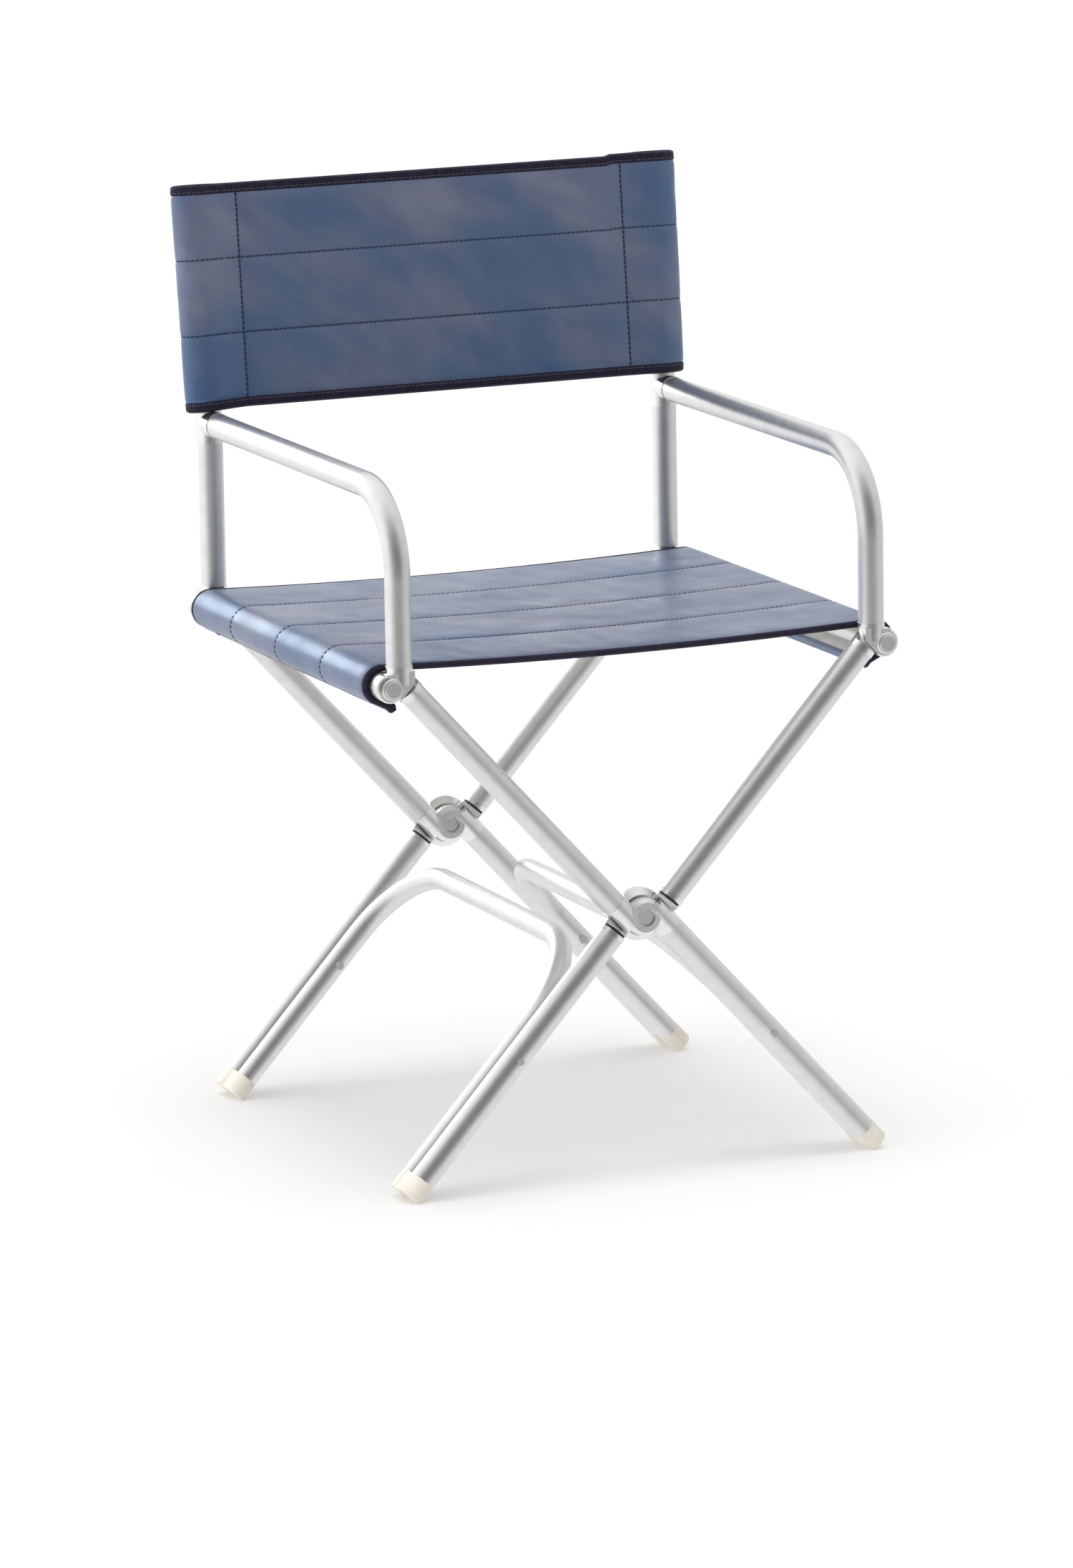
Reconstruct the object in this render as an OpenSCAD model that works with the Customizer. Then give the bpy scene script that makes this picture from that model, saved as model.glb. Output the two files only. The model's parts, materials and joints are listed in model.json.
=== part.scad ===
// Folding director's chair: two side frames joined by a front and a rear scissor pair, with slung seat and back.
// Units are millimetres. +Z is up, the chair faces -Y, and the origin is on the floor under the middle of the chair's bounding box.

/* [Overall] */
// half the distance between the left and right knuckle pins
pin_x = 237; // [220:1:255]
// height of the knuckle pins, which are also the axes of the seat rails
pin_z = 462.5; // [430:0.5:490]
// distance of the front and rear tube planes from the middle
plane_y = 227; // [200:1:250]
// height of the scissor hub pins
hub_z = 236.5; // [215:0.5:260]
// slope of the leg tubes from the floor, in degrees
leg_angle = 47.7; // [44:0.1:52]
// half the distance between the side frames' knuckle pins when folded
folded_pin_x = 33.5; // [32:0.5:45]

/* [Tubes] */
// outer radius of the leg, arm and post tubes
tube_r = 11.5; // [9:0.5:13]
// wall thickness of every tube
tube_wall = 2; // [1:0.1:3]
// outer radius of the U-shaped stretchers
stretcher_r = 10; // [8:0.5:11]
// radius of the castings where they meet the tubes
casting_r = 12; // [10:0.1:14]
// length of each casting's spigot inside its tube
spigot_len = 15; // [8:1:25]

/* [Legs] */
// distance of each leg tube's axis from the hub pin
tube_offset = 11.5; // [11:0.1:14]
// distance from the hub pin to the ring line of leg b's castings, along the leg
hub_ring = 27; // [26:0.5:36]
// radius of the rear half of the hub, on the leg that runs down to the left
hub_disc_r = 24; // [20:0.5:26]
// radius of the front half of the hub, on the leg that runs down to the right
hub_boss_r = 17; // [14:0.5:22]
// distance from the knuckle pin to the leg's ring line, along the leg
knuckle_ring = 20; // [17:0.5:26]
// radius of the eyes around the knuckle pins
eye_r = 13; // [11:0.5:16]
// radius of the raised boss around each knuckle pin's head
boss_r = 9.8; // [9.5:0.1:12]
// how far that boss stands out from its eye
boss_step = 4.5; // [1:0.5:6]
// width of the slope around the face of the hub's front half
boss_slope = 3.5; // [1:0.5:5]
// width of the slope around the hub's rear half, on its front side
disc_slope = 5.5; // [1:0.5:7]
// length of the foot caps past the ends of the tubes
cap_len = 18.7; // [15:0.1:24]
// height of the lower tube's end centre over the floor
tube_end_z = 18.6; // [15:0.1:24]
// distance from the hub pin to the stretcher's cross part, along the leg
cross_u = 53; // [45:1:70]
// centreline radius of the stretcher's two bends
stretcher_bend = 82; // [50:1:100]

/* [Side frames] */
// half the distance between the left and right posts
post_x = 226.5; // [210:0.5:240]
// height of the ring line over each knuckle casting
knuckle_top_z = 481; // [478:0.5:495]
// height of the arm tube's axis
arm_z = 631; // [600:1:660]
// centreline radius of the arm tube's bend
arm_bend = 72; // [40:1:90]
// height of the ring line under each tee casting
tee_bottom_z = 613; // [595:1:620]
// reach of the tee casting along the arm
tee_reach = 22; // [16:1:35]
// backward lean of the back posts, in degrees
recline = 6.2; // [0:0.1:12]

/* [Slings] */
// thickness of the padded seat sling
seat_t = 6.6; // [4:0.1:10]
// half the depth of the seat sling, front to back
seat_half_y = 213.5; // [190:0.5:214]
// sag of the seat sling at its middle
seat_sag = 5; // [0:0.5:15]
// distance of the seat wrap's inner edge from the pins, towards the middle
wrap_tail = 27; // [20:0.5:30]
// thickness of the padded back sling
back_t = 9; // [5:0.1:10]
// height of the back sling's lower edge
back_bottom_z = 643.5; // [630:0.5:660]
// length of the back sling along the posts
back_len = 205; // [180:1:240]
// width of the binding on the back sling's edges
binding_w = 9; // [5:0.5:14]
// width of the binding on the seat sling's edges
seat_binding_w = 5; // [3:0.5:10]

/* [Pins] */
// radius of the knuckle pins' shanks
pin_r = 5; // [3:0.1:6]
// radius of the knuckle pins' heads
pin_head_r = 7.8; // [6:0.1:11]
// radius of the hub pins' shanks
hub_pin_r = 5; // [3:0.1:6]
// radius of the hub pins' heads
hub_head_r = 7.3; // [6:0.1:9]
// radial clearance of each pin in the eye that turns on it
running = 0.06; // [0.01:0.01:0.1]

/* [Hidden] */
$fn = 96;
gap = 0.3;
tube_in = tube_r - tube_wall;
spigot_r = tube_in - 0.1;
stretcher_in = stretcher_r - tube_wall;
half_lap = gap / 2;
hub_lap = 0.6;
washer_t = hub_lap + 0.3;
washer_r = 10;
sin_leg = sin(leg_angle);
cos_leg = cos(leg_angle);
rise = pin_z - hub_z;
// The knuckle pin in the leg's own frame: pin_u along the leg from the hub, pin_n across it.
pin_u = pin_x * cos_leg + rise * sin_leg;
pin_n = pin_x * sin_leg - rise * cos_leg;
folded_angle = 90 - asin((folded_pin_x - pin_n) / pin_u);
fold_travel = folded_angle - leg_angle;
// The far end of the lower tubes, measured down the leg from the hub.
foot_u = (hub_z + tube_offset * cos_leg - tube_end_z) / sin_leg;
foot_y = tube_r + stretcher_r + 0.3;
stretcher_y = plane_y - foot_y;
cross_half = stretcher_y - stretcher_bend;
branch_u = cross_u + stretcher_bend;
cap_r = tube_r + 0.3;
cap_small_r = stretcher_r + 0.3;
cap_chamfer = 1.2;
neck_u = eye_r + 1;
shoulder_u = 6;
hub_neck = hub_disc_r + 1;
head_t = 1.5;
head_chamfer = 0.9;
edge_chamfer = 1.4;
hub_counterbore_r = hub_head_r + 1.1;
hub_counterbore = 2.5;
rail_half_y = plane_y - casting_r;
plug_len = 16;
post_neck_z = pin_z + eye_r + 1;
lean_z = 615;
tee_top = 28;
back_tube_start = tee_top;
back_tube_len = 201;
back_start = (back_bottom_z - lean_z) / cos(recline);
sleeve_in = tube_r + 0.6;
sleeve_out = sleeve_in + back_t;
sleeve_tail = 21;
panel_shift = 6;
wrap_in = tube_r + 0.3;
wrap_mid = wrap_in + seat_t / 2;
wrap_turn = 153.6;
hem_drop = 15.8;
hem_r = 3.9;
keder_r = 2.2;
seat_z = pin_z + wrap_mid;
rivet_hole_r = 2.1;
rivet_u = branch_u + 35;
groove_start = hub_neck + 0.3;
groove_w = 2.2;
collar_w = 4.2;
collar_end = groove_start + groove_w + collar_w;
// The leaning back reaches further than the front, so the feet stand off the middle by origin_y.
front_reach = plane_y + casting_r + head_t;
back_reach = plane_y + (back_start + back_len) * sin(recline) + sleeve_out * cos(recline);
origin_y = (back_reach - front_reach) / 2;
satin = [0.80, 0.81, 0.83];
polished = [0.88, 0.89, 0.90];
vinyl = [0.30, 0.39, 0.56];
trim = [0.10, 0.09, 0.16];
nylon = [0.93, 0.91, 0.87];
black = [0.05, 0.05, 0.06];

// ---- frames ----

// Everything below is drawn with the feet's middle at the origin, and moved here.
module place() {
    translate([0, -origin_y, 0]) children();
}

// Mirrors its children to the left for side -1.
module side(s) {
    mirror([s < 0 ? 1 : 0, 0, 0]) children();
}

// Mirrors its children to the rear for end 1: they are drawn for the front.
module at_end(e) {
    mirror([0, e > 0 ? 1 : 0, 0]) children();
}

// The leg's own frame: Z runs up the leg from the hub, X points down and outwards. Leg b is leg a's mirror image.
module leg(s) {
    side(s) translate([0, 0, hub_z]) rotate([0, 90 - leg_angle, 0]) children();
}

// The back post's own frame: Z runs up the leaning post.
module post_frame() {
    translate([post_x, plane_y, lean_z]) rotate([-recline, 0, 0]) children();
}

// ---- shapes ----

module tube(r, inner, len) {
    difference() {
        cylinder(r = r, h = len);
        translate([0, 0, -1]) cylinder(r = inner, h = len + 2);
    }
}

module along_y(y0, y1, r) {
    translate([0, y0, 0]) rotate([-90, 0, 0]) cylinder(r = r, h = y1 - y0);
}

// A solid disc along Y whose edges are chamfered by c0 at the y0 end and c1 at the y1 end.
module disc_y(y0, y1, r, c0, c1) {
    translate([0, y0, 0]) rotate([-90, 0, 0]) {
        if (c0 > 0) cylinder(r1 = r - c0, r2 = r, h = c0);
        translate([0, 0, c0]) cylinder(r = r, h = y1 - y0 - c0 - c1);
        if (c1 > 0) translate([0, 0, y1 - y0 - c1]) cylinder(r1 = r, r2 = r - c1, h = c1);
    }
}

// A quarter bend of tube in the YZ plane, from pointing up at y = 0 to pointing along +Y.
module quarter_bend(radius, r, inner) {
    translate([0, radius, 0]) rotate([0, 0, 180]) rotate([90, 0, 90])
        rotate_extrude(angle = 90) translate([radius, 0]) difference() {
            circle(r = r);
            circle(r = inner);
        }
}

// Half of space on one side of the plane y = edge, for cutting a lap joint.
module beyond_y(edge, s) {
    big = 120;
    translate([-big / 2, s > 0 ? edge : edge - big, -big / 2]) cube(big);
}

// ---- side frames ----

// Drawn for the front right; the eye is on the outer side of the tube plane.
module knuckle_solid() {
    difference() {
        union() {
            translate([post_x, 0, post_neck_z]) cylinder(r = casting_r, h = knuckle_top_z - post_neck_z);
            translate([post_x, 0, knuckle_top_z - 1]) cylinder(r = spigot_r, h = spigot_len + 1);
            difference() {
                union() {
                    knuckle_web();
                    translate([post_x, 0, pin_z + 3]) cylinder(r = casting_r, h = post_neck_z - pin_z - 2);
                    translate([pin_x, 0, pin_z]) disc_y(-casting_r + boss_step, 0, eye_r, edge_chamfer, 0);
                    translate([pin_x, 0, pin_z]) disc_y(-casting_r, -1, boss_r, 1, 0);
                }
                translate([post_x, 0, pin_z]) beyond_y(-half_lap, 1);
            }
        }
        translate([pin_x, 0, pin_z]) along_y(-casting_r - 1, 1, pin_r + 0.02);
    }
}

// The cheek between post and eye: its lower edge is tangent to the eye, square to the leg.
module knuckle_web() {
    foot = [pin_x - eye_r * cos_leg, pin_z - eye_r * sin_leg];
    left = post_x - casting_r;
    left_z = foot[1] + (foot[0] - left) * cos_leg / sin_leg;
    rotate([90, 0, 0]) linear_extrude(height = casting_r - 1)
        polygon([foot, [left + 1.5, left_z + 1.5], [left + 1.5, post_neck_z + 1],
                 [pin_x + eye_r * 0.3, post_neck_z - 1], [pin_x, pin_z]]);
}

module knuckle(s, e) {
    color(polished) side(s) at_end(e) translate([0, -plane_y, 0]) knuckle_solid();
}

module rail(s) {
    color(satin) side(s) translate([pin_x, 0, pin_z]) difference() {
        along_y(-rail_half_y, rail_half_y, tube_r);
        along_y(-rail_half_y - 1, rail_half_y + 1, tube_in);
    }
}

module rail_plugs(s) {
    color(polished) side(s) for (e = [-1, 1]) at_end(e) translate([pin_x, 0, pin_z]) difference() {
        along_y(-rail_half_y, -rail_half_y + plug_len, tube_in - 0.05);
        along_y(-rail_half_y - 1, -rail_half_y + plug_len - 3, pin_r + 0.02);
    }
}

module pivot_pins(s) {
    tip = -rail_half_y + plug_len - 4;
    color(polished) side(s) for (e = [-1, 1]) at_end(e) translate([pin_x, 0, pin_z]) {
        disc_y(-plane_y - casting_r - head_t, -plane_y - casting_r, pin_head_r, head_chamfer, 0);
        along_y(-plane_y - casting_r - 0.5, tip, pin_r);
    }
}

module arm_tube(s) {
    bend_z = arm_z - arm_bend;
    arm_end = plane_y - tee_reach;
    color(satin) side(s) translate([post_x, 0, 0]) {
        translate([0, -plane_y, knuckle_top_z]) tube(tube_r, tube_in, bend_z - knuckle_top_z);
        translate([0, -plane_y, bend_z]) quarter_bend(arm_bend, tube_r, tube_in);
        translate([0, -plane_y + arm_bend, arm_z]) rotate([-90, 0, 0])
            tube(tube_r, tube_in, arm_end + plane_y - arm_bend);
    }
}

module rear_post(s) {
    color(satin) side(s) translate([post_x, plane_y, knuckle_top_z])
        tube(tube_r, tube_in, tee_bottom_z - knuckle_top_z);
}

module tee(s) {
    color(polished) side(s) {
        translate([post_x, plane_y, tee_bottom_z]) cylinder(r = casting_r, h = arm_z - tee_bottom_z);
        translate([post_x, plane_y, tee_bottom_z - spigot_len]) cylinder(r = spigot_r, h = spigot_len + 1);
        translate([post_x, 0, arm_z]) {
            along_y(plane_y - tee_reach, plane_y, casting_r);
            along_y(plane_y - tee_reach - spigot_len, plane_y, spigot_r);
            translate([0, plane_y, 0]) sphere(r = casting_r);
        }
        post_frame() {
            cylinder(r = casting_r, h = tee_top);
            cylinder(r = spigot_r, h = tee_top + spigot_len);
        }
    }
}

module back_post(s) {
    color(satin) side(s) post_frame() translate([0, 0, back_tube_start]) tube(tube_r, tube_in, back_tube_len);
}

module post_cap(s) {
    top = back_tube_start + back_tube_len;
    color(black) side(s) post_frame() {
        translate([0, 0, top - 12]) cylinder(r = tube_in - 0.1, h = 13);
        translate([0, 0, top]) cylinder(r = tube_r, h = 1.5);
        translate([0, 0, top + 1.5]) cylinder(r1 = tube_r, r2 = tube_r - 1.2, h = 1.2);
    }
}

// ---- slings ----

// Height of the seat sling's middle surface at x, an arc between the two rails.
function sling_z(x) = seat_z - seat_sag * (1 - pow(x / pin_x, 2));

// Points along the wrap: in from the panel, round the outside of the rail, then down to the hem.
function wrap_path() = concat(
    [for (i = [0:4]) let (x = pin_x - wrap_tail + i * wrap_tail / 5) [x, sling_z(x)]],
    [for (i = [0:30]) let (a = 90 - i * wrap_turn / 30)
        [pin_x + wrap_mid * cos(a), pin_z + wrap_mid * sin(a)]]
);
function wrap_end() = let (p = wrap_path()) p[len(p) - 1];
function wrap_dir() = let (p = wrap_path(), d = p[len(p) - 1] - p[len(p) - 2]) d / norm(d);
function full_path() = concat(wrap_path(), [wrap_end() + wrap_dir() * hem_drop]);
function hem_centre() = wrap_end() + wrap_dir() * (hem_drop + hem_r - 1.5);
function normal_at(p, i) = let (a = p[max(i - 1, 0)], b = p[min(i + 1, len(p) - 1)], d = (b - a) / norm(b - a)) [-d[1], d[0]];
function band(p, w) = concat(
    [for (i = [0:len(p) - 1]) p[i] + normal_at(p, i) * w / 2],
    [for (i = [len(p) - 1:-1:0]) p[i] - normal_at(p, i) * w / 2]
);

// A length of the wrap from y0 to y1, with the tunnel for the rod in its hem.
module wrap_length(y0, y1) {
    hem = [hem_centre()[0], 0, hem_centre()[1]];
    difference() {
        union() {
            translate([0, y1, 0]) rotate([90, 0, 0]) linear_extrude(height = y1 - y0)
                polygon(band(full_path(), seat_t));
            translate(hem) along_y(y0, y1, hem_r);
        }
        translate(hem) along_y(y0 - 1, y1 + 1, keder_r + 0.2);
    }
}

module seat_wrap(s) {
    inner = seat_half_y - seat_binding_w;
    color(vinyl) side(s) wrap_length(-inner, inner);
}

module seat_rod(s) {
    color(nylon) side(s) translate([hem_centre()[0], 0, hem_centre()[1]])
        along_y(-seat_half_y + 3, seat_half_y - 3, keder_r);
}

module seat_profile() {
    half = pin_x - wrap_tail - 0.2;
    steps = 20;
    polygon(band([for (i = [0:steps]) let (x = -half + 2 * half * i / steps) [x, sling_z(x)]], seat_t));
}

module seat_panel() {
    inner = seat_half_y - seat_binding_w;
    color(vinyl) translate([0, inner, 0]) rotate([90, 0, 0]) linear_extrude(height = 2 * inner) seat_profile();
}

module seat_bindings() {
    color(trim) for (e = [-1, 1]) at_end(e) translate([0, -seat_half_y + seat_binding_w, 0])
        rotate([90, 0, 0]) linear_extrude(height = seat_binding_w) seat_profile();
}

// Section of the loop round a back post, open towards the panel; x runs outwards from the post.
module sleeve_profile() {
    difference() {
        union() {
            circle(r = sleeve_out);
            translate([-sleeve_tail, -panel_shift - back_t / 2]) square([sleeve_tail, back_t]);
        }
        circle(r = sleeve_in);
        translate([-sleeve_tail - 40, -60]) square([40, 120]);
    }
}

module back_sleeve(s) {
    color(vinyl) side(s) post_frame() translate([0, 0, back_start + binding_w])
        linear_extrude(height = back_len - 2 * binding_w) sleeve_profile();
}

module sleeve_bindings(s) {
    side(s) post_frame() for (z = [back_start, back_start + back_len - binding_w])
        translate([0, 0, z]) linear_extrude(height = binding_w) sleeve_profile();
}

module wrap_bindings(s) {
    side(s) for (e = [-1, 1]) at_end(e) wrap_length(-seat_half_y, -seat_half_y + seat_binding_w);
}

module bindings(s) {
    color(trim) {
        sleeve_bindings(s);
        wrap_bindings(s);
    }
}

module back_slab(z, h) {
    half = post_x - sleeve_tail - 0.2;
    translate([0, plane_y, lean_z]) rotate([-recline, 0, 0])
        translate([-half, -panel_shift - back_t / 2, z]) cube([2 * half, back_t, h]);
}

module back_panel() {
    color(vinyl) back_slab(back_start + binding_w, back_len - 2 * binding_w);
}

module back_bindings() {
    color(trim) for (z = [back_start, back_start + back_len - binding_w]) back_slab(z, binding_w);
}

// ---- legs, drawn for the front of leg a ----

module leg_eye(s, e) {
    color(polished) at_end(e) leg(s) translate([0, -plane_y, 0]) difference() {
        union() {
            translate([tube_offset, 0, pin_u - knuckle_ring]) cylinder(r = casting_r, h = knuckle_ring - neck_u);
            translate([tube_offset, 0, pin_u - knuckle_ring - spigot_len])
                cylinder(r = spigot_r, h = spigot_len + 1);
            difference() {
                union() {
                    translate([tube_offset, 0, pin_u - neck_u - 1]) cylinder(r = casting_r, h = neck_u - shoulder_u);
                    translate([pin_n, 0, pin_u]) disc_y(0, casting_r - gap, eye_r, 0, edge_chamfer);
                    translate([tube_offset - 2, half_lap, pin_u - neck_u]) cube([14, casting_r - 2, neck_u]);
                }
                translate([tube_offset, 0, pin_u]) beyond_y(half_lap, -1);
                translate([tube_offset, 0, pin_u]) beyond_y(casting_r - gap, 1);
            }
        }
        translate([pin_n, 0, pin_u]) along_y(-1, casting_r + 1, pin_r + running);
    }
}

module upper_tube(s, e) {
    start = s > 0 ? collar_end : hub_ring;
    color(satin) at_end(e) leg(s) translate([tube_offset, -plane_y, start])
        tube(tube_r, tube_in, pin_u - knuckle_ring - start);
}

module lower_tube(s, e) {
    start = s > 0 ? collar_end : hub_ring;
    color(satin) at_end(e) leg(s) translate([-tube_offset, -plane_y, 0]) difference() {
        translate([0, 0, -foot_u]) tube(tube_r, tube_in, foot_u - start);
        translate([0, 0, -rivet_u]) along_y(-tube_r - 1, tube_r + 1, rivet_hole_r);
    }
}

// One half of a hub: lap 1 is the rear half of leg a, lap -1 the front half of leg b.
module hub_solid(lap, disc_r) {
    neck_end = lap > 0 ? groove_start : hub_ring;
    tube_start = lap > 0 ? collar_end : hub_ring;
    difference() {
        union() {
            for (t = [-1, 1]) rotate([0, t > 0 ? 0 : 180, 0]) translate([tube_offset, 0, hub_neck]) {
                cylinder(r = casting_r, h = neck_end - hub_neck);
                cylinder(r = spigot_r, h = tube_start - hub_neck + spigot_len);
            }
            if (lap > 0) disc_y(hub_lap, casting_r - gap, disc_r, disc_slope, edge_chamfer);
            if (lap < 0) disc_y(-casting_r + gap, -hub_lap, disc_r, boss_slope, 0);
            difference() {
                for (t = [-1, 1]) rotate([0, t > 0 ? 0 : 180, 0])
                    translate([tube_offset, 0, 2]) cylinder(r = casting_r, h = hub_neck - 1.9);
                beyond_y(lap * hub_lap, -lap);
            }
        }
        along_y(-casting_r - 1, casting_r + 1, hub_pin_r + running);
        if (lap > 0) along_y(casting_r - hub_counterbore, casting_r + 1, hub_counterbore_r);
        if (lap < 0) along_y(-casting_r - 1, -casting_r + hub_counterbore, hub_counterbore_r);
    }
}

module hub_at(s, e) {
    leg(s) translate([0, e * plane_y, 0]) children();
}

module hub_a(e) {
    color(polished) hub_at(1, e) hub_solid(1, hub_disc_r);
}

module hub_b(e) {
    color(polished) hub_at(-1, e) hub_solid(-1, hub_boss_r);
}

// A ring on each tube end next to the hubs of leg a.
module hub_bands(from, w, r) {
    for (e = [-1, 1]) hub_at(1, e) for (t = [-1, 1]) rotate([0, t > 0 ? 0 : 180, 0])
        translate([tube_offset, 0, from]) tube(r, spigot_r + 0.05, w);
}

module hub_rings_a() {
    color(black) hub_bands(groove_start, groove_w, tube_r - 1.2);
}

module hub_collars_a() {
    rib_w = 1.5;
    start = groove_start + groove_w;
    color(polished) {
        hub_bands(start, collar_w, tube_r - 0.2);
        hub_bands(start, rib_w, casting_r + 0.2);
        hub_bands(collar_end - rib_w, rib_w, casting_r + 0.2);
    }
}

module hub_pins() {
    head_y = casting_r - hub_counterbore;
    color(polished) for (e = [-1, 1]) hub_at(-1, e) {
        disc_y(-head_y - head_t, -head_y, hub_head_r, head_chamfer, 0);
        along_y(-head_y - 0.5, head_y + gap + 0.5, hub_pin_r);
        disc_y(head_y + gap, head_y + gap + head_t, hub_head_r, 0, head_chamfer);
    }
}

module hub_washers() {
    color(nylon) for (e = [-1, 1]) hub_at(-1, e) difference() {
        along_y(-hub_lap, -hub_lap + washer_t, washer_r);
        along_y(-2, 2, hub_pin_r + 0.1);
    }
}

// The U-shaped stretcher lies in the plane of the lower tubes, against their inner sides.
module stretcher(s) {
    color(satin) leg(s) translate([-tube_offset, 0, 0]) {
        for (e = [-1, 1]) at_end(e) {
            translate([0, -stretcher_y, 0]) difference() {
                translate([0, 0, -foot_u]) tube(stretcher_r, stretcher_in, foot_u - branch_u);
                translate([0, 0, -rivet_u]) along_y(-stretcher_r - 1, stretcher_r + 1, rivet_hole_r);
            }
            translate([0, -stretcher_y, -branch_u]) quarter_bend(stretcher_bend, stretcher_r, stretcher_in);
        }
        translate([0, -cross_half, -cross_u]) rotate([-90, 0, 0])
            tube(stretcher_r, stretcher_in, 2 * cross_half);
    }
}

// One rivet at each end joins a lower tube to the stretcher's branch: it goes through both, headed at each side.
module rivets(s) {
    outside = -plane_y - tube_r;
    inside = -stretcher_y + stretcher_r;
    color(polished) leg(s) for (e = [-1, 1]) at_end(e) translate([-tube_offset, 0, -rivet_u]) {
        along_y(outside - 1, outside, 3.2);
        along_y(outside - 0.5, inside + 0.5, rivet_hole_r - 0.1);
        along_y(inside, inside + 1.2, 4);
    }
}

// The cap closes the lower tube and the stretcher branch beside it, and is cut flat where it meets the floor.
module foot_cap(s, e) {
    color(nylon) difference() {
        at_end(e) leg(s) translate([-tube_offset, -plane_y, -foot_u]) {
            translate([0, 0, -cap_len]) cylinder(r1 = cap_r - cap_chamfer, r2 = cap_r, h = cap_chamfer);
            translate([0, 0, -cap_len + cap_chamfer]) cylinder(r = cap_r, h = cap_len - cap_chamfer);
            translate([0, 0, -1]) cylinder(r = tube_in - 0.1, h = 13);
            translate([0, foot_y, 0]) {
                translate([0, 0, -cap_len]) cylinder(r1 = cap_small_r - cap_chamfer, r2 = cap_small_r, h = cap_chamfer);
                translate([0, 0, -cap_len + cap_chamfer]) cylinder(r = cap_small_r, h = cap_len - cap_chamfer);
                translate([0, 0, -1]) cylinder(r = stretcher_in - 0.1, h = 13);
            }
            translate([-cap_small_r + cap_chamfer, 0, -cap_len])
                cube([2 * (cap_small_r - cap_chamfer), foot_y, cap_len]);
        }
        translate([-400, -400, -100]) cube([800, 800, 100]);
    }
}

place() rail(-1);  // rail_left
place() rail_plugs(-1);  // rail_plugs_left
place() knuckle(-1, -1);  // knuckle_front_left
place() knuckle(-1, 1);  // knuckle_rear_left
place() arm_tube(-1);  // arm_tube_left
place() rear_post(-1);  // rear_post_left
place() tee(-1);  // tee_left
place() back_post(-1);  // back_post_left
place() post_cap(-1);  // post_cap_left
place() pivot_pins(-1);  // pivot_pins_left
place() seat_wrap(-1);  // seat_wrap_left
place() seat_rod(-1);  // seat_rod_left
place() back_sleeve(-1);  // back_sleeve_left
place() bindings(-1);  // bindings_left
place() rail(1);  // rail_right
place() rail_plugs(1);  // rail_plugs_right
place() knuckle(1, -1);  // knuckle_front_right
place() knuckle(1, 1);  // knuckle_rear_right
place() arm_tube(1);  // arm_tube_right
place() rear_post(1);  // rear_post_right
place() tee(1);  // tee_right
place() back_post(1);  // back_post_right
place() post_cap(1);  // post_cap_right
place() pivot_pins(1);  // pivot_pins_right
place() seat_wrap(1);  // seat_wrap_right
place() seat_rod(1);  // seat_rod_right
place() back_sleeve(1);  // back_sleeve_right
place() bindings(1);  // bindings_right
place() seat_panel();
place() seat_bindings();
place() back_panel();
place() back_bindings();
place() leg_eye(1, -1);  // leg_eye_a_front
place() leg_eye(1, 1);  // leg_eye_a_rear
place() upper_tube(1, -1);  // upper_tube_a_front
place() upper_tube(1, 1);  // upper_tube_a_rear
place() hub_a(-1);  // hub_a_front
place() hub_a(1);  // hub_a_rear
place() hub_collars_a();
place() hub_rings_a();
place() lower_tube(1, -1);  // lower_tube_a_front
place() lower_tube(1, 1);  // lower_tube_a_rear
place() stretcher(1);  // stretcher_a
place() rivets(1);  // rivets_a
place() foot_cap(1, -1);  // foot_front_left
place() foot_cap(1, 1);  // foot_rear_left
place() leg_eye(-1, -1);  // leg_eye_b_front
place() leg_eye(-1, 1);  // leg_eye_b_rear
place() upper_tube(-1, -1);  // upper_tube_b_front
place() upper_tube(-1, 1);  // upper_tube_b_rear
place() hub_b(-1);  // hub_b_front
place() hub_b(1);  // hub_b_rear
place() hub_pins();
place() hub_washers();
place() lower_tube(-1, -1);  // lower_tube_b_front
place() lower_tube(-1, 1);  // lower_tube_b_rear
place() stretcher(-1);  // stretcher_b
place() rivets(-1);  // rivets_b
place() foot_cap(-1, -1);  // foot_front_right
place() foot_cap(-1, 1);  // foot_rear_right
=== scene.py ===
"""Folding director's chair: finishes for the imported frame, and quilted slings made as soft pieces on it."""

import json
import math

import bmesh
import bpy
import numpy as np
from mathutils import Matrix, Vector


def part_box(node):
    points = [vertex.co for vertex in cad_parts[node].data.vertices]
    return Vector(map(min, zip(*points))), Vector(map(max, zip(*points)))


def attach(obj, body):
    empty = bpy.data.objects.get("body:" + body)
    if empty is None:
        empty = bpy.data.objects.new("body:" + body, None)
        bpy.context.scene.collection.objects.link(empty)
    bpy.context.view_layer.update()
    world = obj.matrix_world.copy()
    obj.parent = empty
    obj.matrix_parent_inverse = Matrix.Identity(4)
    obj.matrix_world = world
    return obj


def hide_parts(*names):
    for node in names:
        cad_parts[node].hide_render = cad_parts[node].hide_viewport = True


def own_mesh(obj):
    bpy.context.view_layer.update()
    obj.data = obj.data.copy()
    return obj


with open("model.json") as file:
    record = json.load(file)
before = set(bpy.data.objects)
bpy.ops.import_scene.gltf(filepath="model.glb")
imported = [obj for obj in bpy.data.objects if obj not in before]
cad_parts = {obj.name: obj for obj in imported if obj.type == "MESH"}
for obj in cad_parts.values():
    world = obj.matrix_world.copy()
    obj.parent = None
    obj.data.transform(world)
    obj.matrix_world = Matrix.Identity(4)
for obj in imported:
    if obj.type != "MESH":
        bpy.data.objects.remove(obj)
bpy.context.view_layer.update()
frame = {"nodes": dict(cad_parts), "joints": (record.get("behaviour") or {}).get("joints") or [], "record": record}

MM = 0.001
DEG = math.pi / 180

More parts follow.
